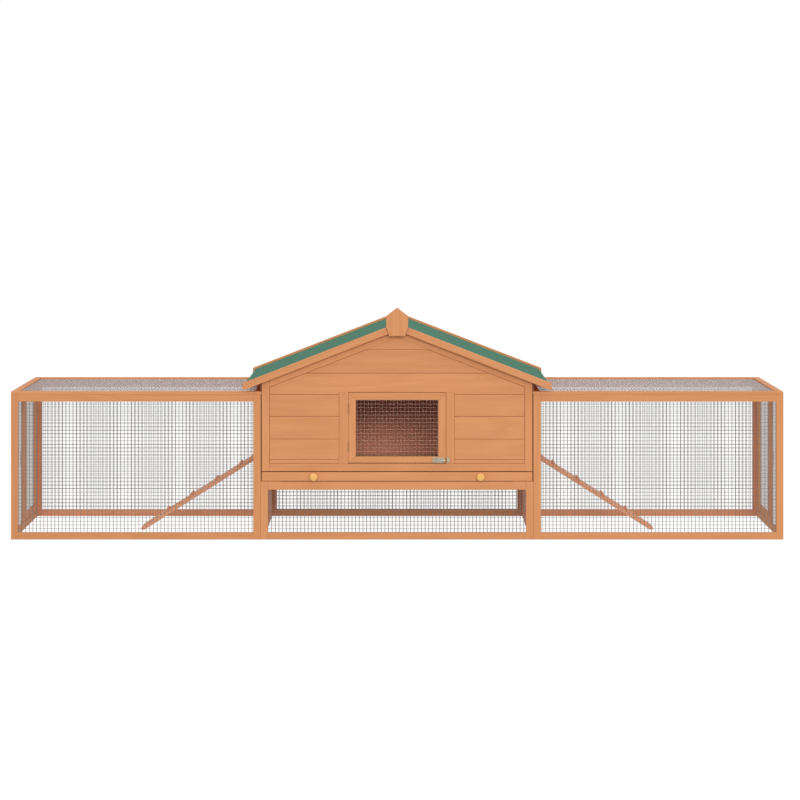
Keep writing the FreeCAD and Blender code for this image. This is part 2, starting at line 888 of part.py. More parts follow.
def button_screw():
    reach = 2 * s.button_play + s.button_thickness
    shank = rod((0, s.screw_depth, 0), s.screw_radius, s.screw_depth + reach, POINTING_FRONT)
    head = rod((0, -reach, 0), s.screw_head_radius, s.screw_head_height, POINTING_FRONT)
    return fuse([shank, head])


# Ramps: hinged below the doorway sill; in the hinge's own frame x runs down the ramp and y out of it

pin_z = sill_z + s.ramp_pin_rise
ramp_under = s.knuckle_radius
ramp_top = s.knuckle_radius + s.ramp_thickness


def ramp_turn(angle, side):
    turn = FreeCAD.Rotation(DEEP, angle) * POINTING_FRONT
    return turn if side > 0 else FreeCAD.Rotation(UP, 180) * turn


def down_slope(height_over_pin):
    """Distance down the slope at which a line of the ramp reaches the ground."""
    drop = pin_z - s.ground_play + height_over_pin * cosine(s.ramp_angle)
    return drop / sine(s.ramp_angle)


def ramp_pieces():
    points = [
        (s.ramp_start, ramp_under),
        (down_slope(ramp_under), ramp_under),
        (down_slope(ramp_top), ramp_top),
        (s.ramp_start, ramp_top),
    ]
    pieces = [prism("XY_Plane", points, s.ramp_width, (0, 0, -s.ramp_width / 2))]
    cleat_pitch = (down_slope(ramp_top) - s.cleat_start - s.cleat_end) / (COUNTS["cleats"] - 1)
    for index in range(COUNTS["cleats"]):
        low_x = s.cleat_start + index * cleat_pitch - s.cleat_width / 2
        pieces.append(block((low_x, ramp_top, -s.ramp_width / 2),
                            (s.cleat_width, s.cleat_height, s.ramp_width)))
    return pieces


def ramp(name, side):
    turn = ramp_turn(s.ramp_angle.value, side)
    pin_x = side * (half_house + s.knuckle_radius)
    node(f"{name}_ramp", ramp_pieces(), (pin_x, middle_y, pin_z), turn)
    leaf_start = (pin_x, middle_y + side * s.leaf_length / 2, pin_z)
    node(f"{name}_ramp_hinge_leaf", [moving_leaf(leaf_start, turn)])
    fixed_leaves.append(fixed_leaf(leaf_start, ramp_turn(-90, side)))


screws = []
for side, name in ((-1, "left"), (1, "right")):
    start_x = sided(side, half_house, run_end)
    mesh_panel(f"{name}_run_front_frame", f"{name}_run_front_mesh", s.run_length, panel_height, s.mesh_square,
               (start_x, front_y, 0))
    mesh_panel(f"{name}_run_back_frame", f"{name}_run_back_mesh", s.run_length, panel_height, s.mesh_square,
               (start_x, inner_back_y, 0))
    mesh_panel(f"{name}_run_top_frame", f"{name}_run_top_mesh", s.run_length, s.run_depth, s.mesh_square,
               (start_x, front_y, s.run_height), LYING)
    turn = FACING_RIGHT if side > 0 else FACING_LEFT
    end_panel(name, side, turn)
    end_door(name, side, turn)
    ramp(name, side)
node("run_button_screws", screws)
node("fixed_hinge_leaves", fixed_leaves)


# Roof: two boards that meet at the ridge, one folded sheet of felt, bargeboards and finial

def roof_board(side):
    points = [
        (0, roof_under),
        (side * roof_reach, under(roof_under, roof_reach)),
        (side * roof_reach, under(board_top, roof_reach)),
        (0, board_top),
    ]
    return prism("XZ_Plane", points, roof_depth, (0, roof_front, 0))


def felt():
    """Sheet over both slopes that folds down over each eave."""
    hem = roof_reach + s.felt_thickness
    points = [
        (0, felt_top),
        (hem, under(felt_top, hem)),
        (hem, hem_low),
        (roof_reach, hem_low),
        (roof_reach, under(board_top, roof_reach)),
        (0, board_top),
        (-roof_reach, under(board_top, roof_reach)),
        (-roof_reach, hem_low),
        (-hem, hem_low),
        (-hem, under(felt_top, hem)),
    ]
    return prism("XZ_Plane", points, roof_depth, (0, roof_front, 0))


def bargeboards(low_y):
    """Two boards that meet in a mitre at the ridge, with plumb-cut lower ends."""
    barge_low = ridge_height - s.barge_width * slant
    pieces = []
    for side in (-1, 1):
        points = [
            (0, barge_low),
            (side * barge_reach, under(barge_low, barge_reach)),
            (side * barge_reach, under(ridge_height, barge_reach)),
            (0, ridge_height),
        ]
        pieces.append(prism("XZ_Plane", points, s.barge_thickness, (0, low_y, 0)))
    return pieces


def finial():
    """Seven-sided plate that covers the mitre of the front bargeboards."""
    apex = ridge_height + s.finial_rise
    shoulder = apex - s.finial_shoulder
    cheek = shoulder - s.finial_cheek
    foot = cheek - s.finial_foot
    points = [
        (0, apex),
        (s.finial_half_width, shoulder),
        (s.finial_half_width, cheek),
        (s.finial_foot_half_width, foot),
        (-s.finial_foot_half_width, foot),
        (-s.finial_half_width, cheek),
        (-s.finial_half_width, shoulder),
    ]
    low_y = roof_front - s.barge_thickness - s.finial_thickness
    return prism("XZ_Plane", points, s.finial_thickness, (0, low_y, 0))


node("left_roof_board", [roof_board(-1)])
node("right_roof_board", [roof_board(1)])
node("roof_felt", [felt()])
node("front_bargeboards", bargeboards(roof_front - s.barge_thickness))
node("rear_bargeboards", bargeboards(roof_front + roof_depth))
node("finial", [finial()])


# Build, check and write out

doc.recompute()
failed = [item.Label for item in doc.Objects if {"Invalid", "Error"} & set(item.State)]
for item in nodes:
    shape = item.Shape
    if shape.isNull() or not shape.isValid() or not shape.Solids:
        failed.append(item.Label)
if failed:
    raise RuntimeError(f"These objects failed: {sorted(set(failed))}")

os.makedirs("parts", exist_ok=True)
for item in nodes:
    item.Shape.exportStep(f"parts/{item.Label}.step")
    print(item.Label, len(item.Shape.Solids))
print(len(nodes), "sub-parts")
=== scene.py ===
import math
import random

import bmesh
import bpy
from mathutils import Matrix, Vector


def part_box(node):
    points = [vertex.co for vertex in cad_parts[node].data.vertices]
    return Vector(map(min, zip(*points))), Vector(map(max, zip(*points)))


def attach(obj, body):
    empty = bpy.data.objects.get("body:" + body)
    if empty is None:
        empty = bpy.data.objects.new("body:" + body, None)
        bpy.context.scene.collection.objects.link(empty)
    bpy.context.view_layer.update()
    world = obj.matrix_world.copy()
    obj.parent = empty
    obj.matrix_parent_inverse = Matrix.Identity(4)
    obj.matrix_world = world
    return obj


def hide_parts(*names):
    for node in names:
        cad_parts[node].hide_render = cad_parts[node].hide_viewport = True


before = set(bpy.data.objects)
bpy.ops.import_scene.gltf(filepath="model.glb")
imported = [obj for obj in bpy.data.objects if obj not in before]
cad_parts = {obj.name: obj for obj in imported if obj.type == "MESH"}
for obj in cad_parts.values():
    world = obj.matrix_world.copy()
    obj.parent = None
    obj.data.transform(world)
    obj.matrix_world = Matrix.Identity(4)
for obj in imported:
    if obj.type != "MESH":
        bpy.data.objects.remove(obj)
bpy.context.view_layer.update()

MM = 0.001
X, Y, Z = Vector((1, 0, 0)), Vector((0, 1, 0)), Vector((0, 0, 1))
SIDES = ((-1, "left"), (1, "right"))
NEARLY_UPRIGHT = 0.9

# Sizes are those of the model's source, or were fitted to the photograph by a few millimetres
STOCK = 28.5 * MM
THICK = 12 * MM
EDGE = 1.1 * MM
FINE_EDGE = 0.8 * MM
BOARD_EDGE = 1.2 * MM
GRAIN_SPREAD = (40, 9, 9)

# Frames that differ from their solids: how far they reach past them at left and right (grow) and
# below and above (lift), and the widths of the left stile, right stile, foot rail and head rail
FRAME_FITS = {
    "left_run_front_frame": {"grow": (0.0, -2.7 * MM), "widths": (STOCK, 30.0 * MM, STOCK, STOCK)},
    "right_run_front_frame": {"grow": (-1.9 * MM, 0.0), "widths": (30.5 * MM, STOCK, STOCK, STOCK)},
    "base_front_frame": {"grow": (4.4 * MM, 3.7 * MM), "lift": (0.0, 3.4 * MM),
                         "widths": (28.7 * MM, 29.6 * MM, STOCK, 33.9 * MM)},
    "house_door_frame": {"grow": (1.3 * MM, 0.9 * MM), "lift": (0.1 * MM, 0.2 * MM),
                         "widths": (30.2 * MM, 30.4 * MM, 25.2 * MM, 29.5 * MM)},
}
END_STILE = 42.5 * MM
END_STILE_LAP = 5.7 * MM

# House front and back, and the slit beside each run
POST = 30.4 * MM
POST_FOOT = 1.3 * MM
RAIL_TOP = 32 * MM
TRIM = 39 * MM
TRIM_GAP = 1.4 * MM
SHADOW_GAP = 1.4 * MM
BOARD_PITCH = 88 * MM
BOARD_SETBACK = 2 * MM
BOARD_FACE = 5 * MM
BOARD_BACK = 10 * MM
FIRST_JOINT = 14.5 * MM
JOINT_GAP = 0.7 * MM
JOINT_SHIFTS = (0.2 * MM, -5.6 * MM, -2.8 * MM, -2.4 * MM, -5.3 * MM, 0.0)
PLATE_ROOM = 20 * MM
PLATE_SHIFT = 2.9 * MM
HOUSE_EDGES = {-1: 543.6 * MM, 1: 542.6 * MM}
RUN_EDGES = {-1: 547.7 * MM, 1: 546.9 * MM}
STRIP_DEPTHS = (6 * MM, 12 * MM)
STRIP_GAP = 0.4 * MM
STRIP_LAP = 2.6 * MM
STRIP_DROP = 2 * MM
STRIP_EDGE = 0.5 * MM

# Surround of the house door
SURROUND = 34 * MM
SURROUND_SHIFT = 2.7 * MM
SURROUND_FOOT = 1.0 * MM
SURROUND_GAPS = (0.2 * MM, 0.3 * MM)
LINTEL_LAP = 0.4 * MM

# Side walls: their board joints, counted from the sill, and the doorway and the pop hole with the
# rows of boards that each cuts
WALL_JOINTS = range(-3, 4)
DOORWAY = (-84 * MM, 96 * MM)
DOORWAY_ROWS = (4, 5, 6)
POP_HOLE = (40 * MM, 220 * MM)
POP_HOLE_ROWS = (1, 2)

# Roof
ROOF_ANGLE = math.radians(21.2)
SLOPE = math.tan(ROOF_ANGLE)
SLANT = 1 / math.cos(ROOF_ANGLE)
DECKING_BOARDS = 7
DECKING_GAP = 0.5 * MM
BARGE = 28 * MM
FRONT_BARGE_EDGE = 2.4 * MM
REAR_BARGE_EDGE = 1.3 * MM
REAR_BARGE_RISE = 1.6 * MM
FINIAL_HALF = 44 * MM
FINIAL_FOOT_HALF = 31.5 * MM
FINIAL_SHOULDER = 34 * MM
FINIAL_WAIST = 79 * MM
FINIAL_FOOT = 114 * MM
FINIAL_GAP = 1.6 * MM
FINIAL_EDGE = 1.6 * MM
FELT_SINK = 4.0 * MM
FELT_THICKNESS = 0.8 * MM
FELT_SAG = 0.25 * MM
FELT_STEPS = 40
FELT_ROWS = 24

# Tray, its runners and knobs; the knob's profile is radius and distance in millimetres
TRAY_FOOT_RISE = 1.8 * MM
TRAY_TOP_DROP = 0.3 * MM
LEDGE_DROP = 36 * MM
LEDGE_INSIDE = 446 * MM
FENCE_INSIDE = 467 * MM
RUNNER_OUTSIDE = 535 * MM
KNOB_X = 335 * MM
KNOB_PROFILE = ((8.0, 0.0), (7.4, 2.0), (6.6, 5.0), (6.6, 8.0), (8.0, 9.6), (12.0, 10.2), (14.6, 11.2),
                (15.8, 13.0), (16.0, 15.0), (15.6, 17.2), (14.2, 19.2), (11.5, 20.4), (7.0, 20.9),
                (2.0, 21.0))
KNOB_SIDES = 64
KNOB_TONE = 0.2
KNOB_GRAIN_START = 3

# Ramps, measured from the hinge pin along the deck and out from it, and the turn buttons' rounding
RAMP_ANGLE = math.radians(32.3)
RAMP_SIDES = (-70 * MM, 78 * MM)
RAMP_HEAD = 4 * MM
RAMP_UNDER = 3 * MM
RAMP_TOP = 14.5 * MM
RAMP_TOE = 11 * MM
RAMP_FLOOR_GAP = 0.3 * MM
PIN_X, PIN_Y, PIN_Z = 547 * MM, 6 * MM, 309.4 * MM
CLEATS = 4
CLEAT_TOP = 22 * MM
CLEAT_HALF = 5.5 * MM
CLEAT_EDGE = 1.5 * MM
FIRST_CLEAT = 110 * MM
LAST_CLEAT = 126.8 * MM
BUTTON_STEPS = 12

# Welded wire; the weld depth is a share of each wire's radius
WIRE_PITCH = 14.67 * MM
WIRE_SIDES = 8
WELD_DEPTH = 0.9

# Radii of upright and level wires, and where the first of each lies as a share of the pitch
EVEN_STARTS = (0.5, 0.5)
FRONT_WIRES = (1.1 * MM, 0.74 * MM)
BACK_WIRES = (0.9 * MM, 0.8 * MM)
BASE_WIRES = (1.35 * MM, 0.85 * MM)
END_WIRES = (0.8 * MM, 0.7 * MM)
TOP_WIRES = (0.6 * MM, 0.6 * MM)
DOOR_WIRES = (0.4 * MM, 0.45 * MM)
WIRE_STARTS = {
    "left_run_front_mesh": (0.422, 0.384),
    "right_run_front_mesh": (0.925, 0.384),
    "left_run_back_mesh": (0.458, 0.377),
    "right_run_back_mesh": (0.983, 0.377),
    "base_front_mesh": (0.109, 0.35),
    "base_back_mesh": (0.169, 0.5),
    "house_door_mesh": (0.774, 1.473),
}

random.seed(7)


def low_high(node):
    """The two corners of a node's box."""
    low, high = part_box(node)
    return Vector(low), Vector(high)


# Camera: square on to the front, at the photograph's distance and eye height

CAMERA_X = 0.0
CAMERA_DISTANCE = 9.609
CAMERA_HEIGHT = 1.511
camera_data = bpy.data.cameras.new("camera")
camera_data.lens = 104.3
camera_data.sensor_width = 36
camera_data.shift_x = 0.00356
camera_data.shift_y = -0.29625
camera_data.clip_end = 500
camera = bpy.data.objects.new("camera", camera_data)
camera.location = (CAMERA_X, -CAMERA_DISTANCE, CAMERA_HEIGHT)
camera.rotation_euler = (math.radians(90), 0, 0)
bpy.context.scene.collection.objects.link(camera)
bpy.context.scene.camera = camera


# Materials

class Shader:
    """A short way to write a node material."""

    # Sockets of the Mix node that hold its factor, its two colours and its colour result
    MIX_FACTOR, MIX_FIRST, MIX_SECOND, MIX_RESULT = 0, 6, 7, 2

    def __init__(self, name):
        self.material = bpy.data.materials.new(name)
        self.material.use_nodes = True
        self.tree = self.material.node_tree
        self.surface = self.tree.nodes["Principled BSDF"]

    def add(self, kind, inputs=None, **settings):
        item = self.tree.nodes.new(kind)
        for key, value in settings.items():
            setattr(item, key, value)
        for key, value in (inputs or {}).items():
            self.put(item.inputs[key], value)
        return item

    def put(self, socket, value):
        if isinstance(value, bpy.types.NodeSocket):
            self.tree.links.new(value, socket)
        else:
            socket.default_value = value

    def math(self, operation, *values, clamp=False):
        item = self.add("ShaderNodeMath", operation=operation, use_clamp=clamp)
        for socket, value in zip(item.inputs, values):
            self.put(socket, value)
        return item.outputs[0]

    def noise(self, vector, scale=1.0, detail=2.0, roughness=0.5, distortion=0.0):
        item = self.add("ShaderNodeTexNoise", {"Vector": vector, "Scale": scale, "Detail": detail,
                                               "Roughness": roughness, "Distortion": distortion})
        return item.outputs["Fac"]

    def scaled(self, vector, scale):
        item = self.add("ShaderNodeMapping", {"Vector": vector, "Scale": scale})
        return item.outputs["Vector"]

    def ramp(self, factor, low, high):
        item = self.add("ShaderNodeMapRange", {"Value": factor, "From Min": low, "From Max": high})
        return item.outputs["Result"]

    def mix(self, factor, first, second, blend="MIX"):
        item = self.add("ShaderNodeMix", data_type="RGBA", blend_type=blend)
        for index, value in ((self.MIX_FACTOR, factor), (self.MIX_FIRST, first), (self.MIX_SECOND, second)):
            self.put(item.inputs[index], value)
        return item.outputs[self.MIX_RESULT]

    def around(self, value, factor, spread):
        """A value that a factor from 0 to 1 moves up and down by half the spread."""
        return self.math("ADD", self.math("MULTIPLY", factor, spread), value - spread / 2)

    def bump(self, height, strength, distance):
        item = self.add("ShaderNodeBump", {"Height": height, "Strength": strength, "Distance": distance})
        self.put(self.surface.inputs["Normal"], item.outputs["Normal"])

    def set(self, **inputs):
        for key, value in inputs.items():
            self.put(self.surface.inputs[key.replace("_", " ")], value)


def rgb(red, green, blue):
    return (red, green, blue, 1.0)


def wood_material(name, pale, deep, roughness=0.58, contrast=1.0):
    """Stained softwood: growth rings and fibres that follow each board's own length."""
    s = Shader(name)
    grain = s.add("ShaderNodeAttribute", attribute_name="grain").outputs["Vector"]
    tone = s.add("ShaderNodeAttribute", attribute_name="tone").outputs["Fac"]
    ring_density = 58.0
    ring_share, fibre_share, streak_share, knot_share = 0.15 * contrast, 0.40 * contrast, 0.35 * contrast, 0.6
    board_variation = 0.03
    field = s.noise(s.scaled(grain, (0.9, 8.0, 8.0)), detail=2.0, roughness=0.45, distortion=0.15)
    rings = s.ramp(s.math("SINE", s.math("MULTIPLY", field, ring_density)), -1.0, 1.0)
    fibre = s.noise(s.scaled(grain, (9.0, 520.0, 520.0)), detail=3.0, roughness=0.6)
    streak = s.noise(s.scaled(grain, (1.6, 60.0, 60.0)), detail=3.0, roughness=0.55)
    knots = s.add("ShaderNodeTexVoronoi", {"Vector": s.scaled(grain, (1.5, 8.0, 8.0)), "Scale": 1.0})
    knot = s.ramp(knots.outputs["Distance"], 0.075, 0.02)
    depth = s.math("ADD", s.math("MULTIPLY", rings, ring_share), s.math("MULTIPLY", fibre, fibre_share))
    depth = s.math("ADD", depth, s.math("MULTIPLY", s.math("SUBTRACT", streak, 0.5), streak_share))
    depth = s.math("ADD", depth, s.math("MULTIPLY", knot, knot_share), clamp=True)
    color = s.mix(depth, pale, deep)
    shade = s.math("ADD", s.math("MULTIPLY", tone, board_variation), 1.0)
    grey = s.add("ShaderNodeCombineColor", {"Red": shade, "Green": shade, "Blue": shade}).outputs["Color"]
    color = s.mix(1.0, color, grey, "MULTIPLY")
    s.set(Base_Color=color, Specular_IOR_Level=0.3, Roughness=s.around(roughness, fibre, 0.16))
    s.bump(s.math("ADD", fibre, s.math("MULTIPLY", rings, 0.35)), strength=0.35, distance=0.35 * MM)
    return s.material


def metal_material(name, color, roughness, scale=260.0, spread=0.16):
    """Zinc-coated or satin steel with a faint cloudy variation."""
    s = Shader(name)
    place = s.add("ShaderNodeTexCoord").outputs["Object"]
    cloud = s.noise(s.scaled(place, (scale, scale, scale)), detail=3.0, roughness=0.6)
    fine_scale = scale * 9
    fine = s.noise(s.scaled(place, (fine_scale, fine_scale, fine_scale)), detail=2.0)
    darker = rgb(*[value * (1 - spread) for value in color])
    lighter = rgb(*[min(1.0, value * (1 + spread)) for value in color])
    s.set(Base_Color=s.mix(cloud, darker, lighter), Metallic=1.0, Roughness=s.around(roughness, cloud, 0.18))
    s.bump(fine, strength=0.12, distance=0.1 * MM)
    return s.material


def felt_material(name):
    """Mineral roofing felt: fine granules of several greens, with faint broad blotches."""
    s = Shader(name)
    place = s.add("ShaderNodeTexCoord").outputs["Object"]
    grit = s.add("ShaderNodeTexVoronoi", {"Vector": place, "Scale": 620.0})
    speck = s.noise(place, scale=1500.0, detail=1.0)
    blotch = s.noise(place, scale=9.0, detail=4.0, roughness=0.6)
    split = s.add("ShaderNodeSeparateColor", {"Color": grit.outputs["Color"]}).outputs["Red"]
    deep_green, mid_green = rgb(0.033, 0.129, 0.079), rgb(0.078, 0.230, 0.150)
    pale_speck, blotch_green = rgb(0.17, 0.30, 0.25), rgb(0.047, 0.170, 0.113)
    color = s.mix(split, deep_green, mid_green)
    color = s.mix(s.ramp(speck, 0.62, 0.74), color, pale_speck)
    color = s.mix(s.math("MULTIPLY", s.ramp(blotch, 0.35, 0.75), 0.3), color, blotch_green)
    s.set(Base_Color=color, Roughness=0.93, Specular_IOR_Level=0.2)
    s.bump(s.math("SUBTRACT", 1.0, grit.outputs["Distance"]), strength=0.6, distance=0.6 * MM)
    return s.material


front_wood = wood_material("stained_pine", rgb(0.670, 0.288, 0.114), rgb(0.45, 0.165, 0.054))
# Lighter copy of the stain: painted light for the inner and back parts, which the lamps reach less
inner_wood_painted_light = wood_material("stained_pine_inside_painted_light", rgb(0.745, 0.288, 0.124), rgb(0.52, 0.166, 0.060))
# Darker copy of the stain: painted shade for the base's back frame, which lies in the house's shadow
painted_shade_wood = wood_material("stained_pine_painted_shade", rgb(0.66, 0.238, 0.066), rgb(0.45, 0.148, 0.037))
# Paler copy of the stain: painted light for the house's lining, seen in shade through the door
lining_wood_painted_light = wood_material("stained_pine_lining_painted_light", rgb(0.84, 0.318, 0.192), rgb(0.62, 0.198, 0.108))
ramp_wood = wood_material("stained_pine_ramp", rgb(0.86, 0.375, 0.185), rgb(0.62, 0.24, 0.10))
# Near-black brown: painted shadow for the strip in the slit beside each run
painted_shadow_wood = wood_material("painted_shadow_strip", rgb(0.20, 0.062, 0.018), rgb(0.13, 0.038, 0.01))
knob_wood = wood_material("turned_beech", rgb(0.82, 0.44, 0.135), rgb(0.71, 0.33, 0.08),
                          roughness=0.4, contrast=0.6)
felt_green = felt_material("roofing_felt")
# One galvanised wire in several copies: the plain one darkest, the end copy lighter and the top copy lighter
# still, painted light where more light falls on the ends and from above
wire_zinc = metal_material("galvanised_wire", (0.283, 0.267, 0.260), 0.5)
end_wire_painted_light = metal_material("galvanised_wire_end_painted_light", (0.51, 0.44, 0.41), 0.5)
top_wire_painted_light = metal_material("galvanised_wire_top_painted_light", (0.51, 0.470, 0.462), 0.5)
# Warm brown wire: painted reflection of the brown house interior behind the door mesh
door_wire_painted_reflection = metal_material("galvanised_wire_door_painted_reflection", (0.60, 0.42, 0.34), 0.45)
hinge_zinc = metal_material("hinge_bronze", (0.50, 0.28, 0.14), 0.58)
screw_zinc = metal_material("screw_zinc", (0.62, 0.60, 0.54), 0.35)
plate_zinc = metal_material("latch_plate", (0.45, 0.375, 0.27), 0.55)
latch_zinc = metal_material("latch_bolt", (0.42, 0.42, 0.39), 0.30)
# Dark warm brown sheet: painted shade, standing in for the shaded brown band seen past the foot of the house
# door
tray_painted_shade_metal = metal_material("tray_sheet", (0.30, 0.165, 0.115), 0.42, scale=45.0, spread=0.1)


# Joinery: boards with rounded edges

def cross_axes(along):
    """Two axes square to one that is given."""
    across = (along.cross(Z) if abs(along.z) < NEARLY_UPRIGHT else along.cross(Y)).normalized()
    return across, along.cross(across)


class Joinery:
    """The boards of one piece. Each keeps where it lies along and across its own grain."""

    def __init__(self, name):
        self.name = name
        self.points, self.faces, self.grains, self.tones = [], [], [], []

    def solid(self, low_ring, high_ring, grain, edge=EDGE):
        """A board between two matching outlines."""
        bm = bmesh.new()
        lows = [bm.verts.new(point) for point in low_ring]
        highs = [bm.verts.new(point) for point in high_ring]
        bm.faces.new(lows)
        bm.faces.new(highs)
        for index in range(len(lows)):
            following = (index + 1) % len(lows)
            bm.faces.new((lows[index], lows[following], highs[following], highs[index]))
        bmesh.ops.recalc_face_normals(bm, faces=bm.faces)
        if edge:
            bmesh.ops.bevel(bm, geom=list(bm.edges), offset=edge, segments=2, profile=0.5, affect="EDGES",
                            clamp_overlap=True)
        along = grain.normalized()
        across, through = cross_axes(along)
        start = Vector([random.uniform(0, spread) for spread in GRAIN_SPREAD])
        tone = random.uniform(-1, 1)
        first = len(self.points)
        bm.verts.index_update()
        for vert in bm.verts:
            self.points.append(vert.co.copy())
            place = Vector((vert.co.dot(along), vert.co.dot(across), vert.co.dot(through)))
            self.grains.append(place + start)
            self.tones.append(tone)
        for face in bm.faces:
            self.faces.append([first + vert.index for vert in face.verts])
        bm.free()

    def box(self, low, high, grain, edge=EDGE):
        x0, y0, z0 = low
        x1, y1, z1 = high
        ring = [(x0, y0), (x1, y0), (x1, y1), (x0, y1)]
        self.solid([(x, y, z0) for x, y in ring], [(x, y, z1) for x, y in ring], grain, edge)

    def facing(self, outline, y0, y1, grain, edge=EDGE):
        """A board whose outline is drawn as x and z, seen from the front."""
        self.solid([(x, y0, z) for x, z in outline], [(x, y1, z) for x, z in outline], grain, edge)

    def finish(self, body, nodes, material):
        mesh = bpy.data.meshes.new(self.name)
        mesh.from_pydata(self.points, [], self.faces)
        grain = mesh.attributes.new("grain", "FLOAT_VECTOR", "POINT")
        grain.data.foreach_set("vector", [value for vector in self.grains for value in vector])
        tone = mesh.attributes.new("tone", "FLOAT", "POINT")
        tone.data.foreach_set("value", self.tones)
        mesh.update()
        settle(self.name, mesh, body, nodes, material)


def settle(name, mesh, body, nodes, material):
    """A piece of the scene, with the nodes it stands for and the body it rides on."""
    item = bpy.data.objects.new(name, mesh)
    bpy.context.scene.collection.objects.link(item)
    mesh.materials.append(material)
    if nodes:
        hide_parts(*nodes)
    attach(item, body)


# Frames of planed stock

def panel_axes(low, high):
    """The axes along a flat panel's width and height, and the one through it."""
    spans = [high[i] - low[i] for i in range(3)]
    thin = spans.index(min(spans))
    rise = 1 if thin == 2 else 2
    return 3 - thin - rise, rise, thin


def fitted_box(node):
    """A frame's box with what FRAME_FITS adds at its ends, and the widths of its members."""
    low, high = low_high(node)
    run, rise, _ = panel_axes(low, high)
    fit = FRAME_FITS.get(node, {})
    for axis, (at_low, at_high) in ((run, fit.get("grow", (0.0, 0.0))), (rise, fit.get("lift", (0.0, 0.0)))):
        low[axis], high[axis] = low[axis] - at_low, high[axis] + at_high
    return low, high, fit.get("widths", (STOCK, STOCK, STOCK, STOCK))


def panel_frame(node, material=None, stiles=(), body="hutch"):
    """Stiles at full height with rails between them, and any middle stiles."""
    low, high, (left, right, foot, head) = fitted_box(node)
    run, rise, _ = panel_axes(low, high)
    axes = (X, Y, Z)
    work = Joinery(node + "_boards")

    def part(run_low, run_high, rise_low, rise_high, grain):
        a, b = low.copy(), high.copy()
        a[run], b[run], a[rise], b[rise] = run_low, run_high, rise_low, rise_high
        work.box(a, b, grain)

    part(low[run], low[run] + left, low[rise], high[rise], axes[rise])
    part(high[run] - right, high[run], low[rise], high[rise], axes[rise])
    part(low[run] + left, high[run] - right, low[rise], low[rise] + foot, axes[run])
    part(low[run] + left, high[run] - right, high[rise] - head, high[rise], axes[run])
    for start, end in stiles:
        part(start, end, low[rise] + foot, high[rise] - head, axes[rise])
    work.finish(body, [node], material or front_wood)


def mitred_frame(node, body):
    """Four members that face the front and meet on the diagonals."""
    low, high, (left, right, foot, head) = fitted_box(node)
    a, b, c, d = low.x + left, high.x - right, low.z + foot, high.z - head
    work = Joinery(node + "_boards")
    for outline, grain in (
        ([(low.x, low.z), (a, c), (a, d), (low.x, high.z)], Z),
        ([(high.x, low.z), (b, c), (b, d), (high.x, high.z)], Z),
        ([(low.x, low.z), (high.x, low.z), (b, c), (a, c)], X),
        ([(low.x, high.z), (high.x, high.z), (b, d), (a, d)], X),
    ):
        work.facing(outline, low.y, high.y, grain)
    work.finish(body, [node], front_wood)


# Wire mesh: straight wires welded where they cross

def tube(points, faces, start, end, radius):
    """Adds one open-ended wire to the points and faces of a grille."""
    across, through = cross_axes((end - start).normalized())
    first = len(points)
    for centre in (start, end):
        for index in range(WIRE_SIDES):
            angle = 2 * math.pi * (index + 0.5) / WIRE_SIDES
            points.append(centre + (across * math.cos(angle) + through * math.sin(angle)) * radius)
    second = first + WIRE_SIDES
    for index in range(WIRE_SIDES):
        following = (index + 1) % WIRE_SIDES
        faces.append((first + index, first + following, second + following, second + index))


def wire_panel(node, radii=FRONT_WIRES, outside=-1, material=None, body="hutch"):
    """Wires at an even pitch across a CAD mesh panel, the uprights on its outside."""
    low, high = low_high(node)
    run, rise, thin = panel_axes(low, high)
    middle = (low[thin] + high[thin]) / 2
    starts = WIRE_STARTS.get(node, EVEN_STARTS)
    points, faces = [], []
    for axis, other, level, first, radius in (
        (run, rise, outside, starts[0], radii[0]), (rise, run, -outside, starts[1], radii[1]),
    ):
        place = low[axis] + first * WIRE_PITCH
        while place < high[axis]:
            start, end = Vector(), Vector()
            start[axis] = end[axis] = place
            start[other], end[other] = low[other], high[other]
            start[thin] = end[thin] = middle + level * radius * WELD_DEPTH
            tube(points, faces, start, end, radius)
            place += WIRE_PITCH
    mesh = bpy.data.meshes.new(node + "_wires")
    mesh.from_pydata(points, [], faces)
    mesh.shade_smooth()
    settle(node + "_wires", mesh, body, [node], material or wire_zinc)


for side, name in SIDES:
    panel_frame(f"{name}_run_front_frame")
    # The runs' back frames take the lighter copy of the stain, painted light
    panel_frame(f"{name}_run_back_frame", inner_wood_painted_light)
    panel_frame(f"{name}_run_top_frame")
    stile = low_high(f"{name}_run_end_mesh")[1].y - END_STILE_LAP
    panel_frame(f"{name}_run_end_frame", stiles=[(stile, stile + END_STILE)])
    panel_frame(f"{name}_run_door_frame", body=f"{name}_run_door")
    wire_panel(f"{name}_run_front_mesh")
    wire_panel(f"{name}_run_back_mesh", BACK_WIRES, outside=1)
    # The top mesh takes the lightest wire copy, painted light from above
    wire_panel(f"{name}_run_top_mesh", TOP_WIRES, outside=1, material=top_wire_painted_light)
    wire_panel(f"{name}_run_end_mesh", END_WIRES, outside=side, material=end_wire_painted_light)
    wire_panel(f"{name}_run_door_mesh", END_WIRES, outside=side, material=end_wire_painted_light, body=f"{name}_run_door")
panel_frame("base_front_frame")
# The base's back frame takes the darker copy of the stain, painted shade
panel_frame("base_back_frame", painted_shade_wood)
mitred_frame("house_door_frame", "house_door")
wire_panel("base_front_mesh", BASE_WIRES)
wire_panel("base_back_mesh", BACK_WIRES, outside=1)
wire_panel("house_door_mesh", DOOR_WIRES, material=door_wire_painted_reflection, body="house_door")


# House walls

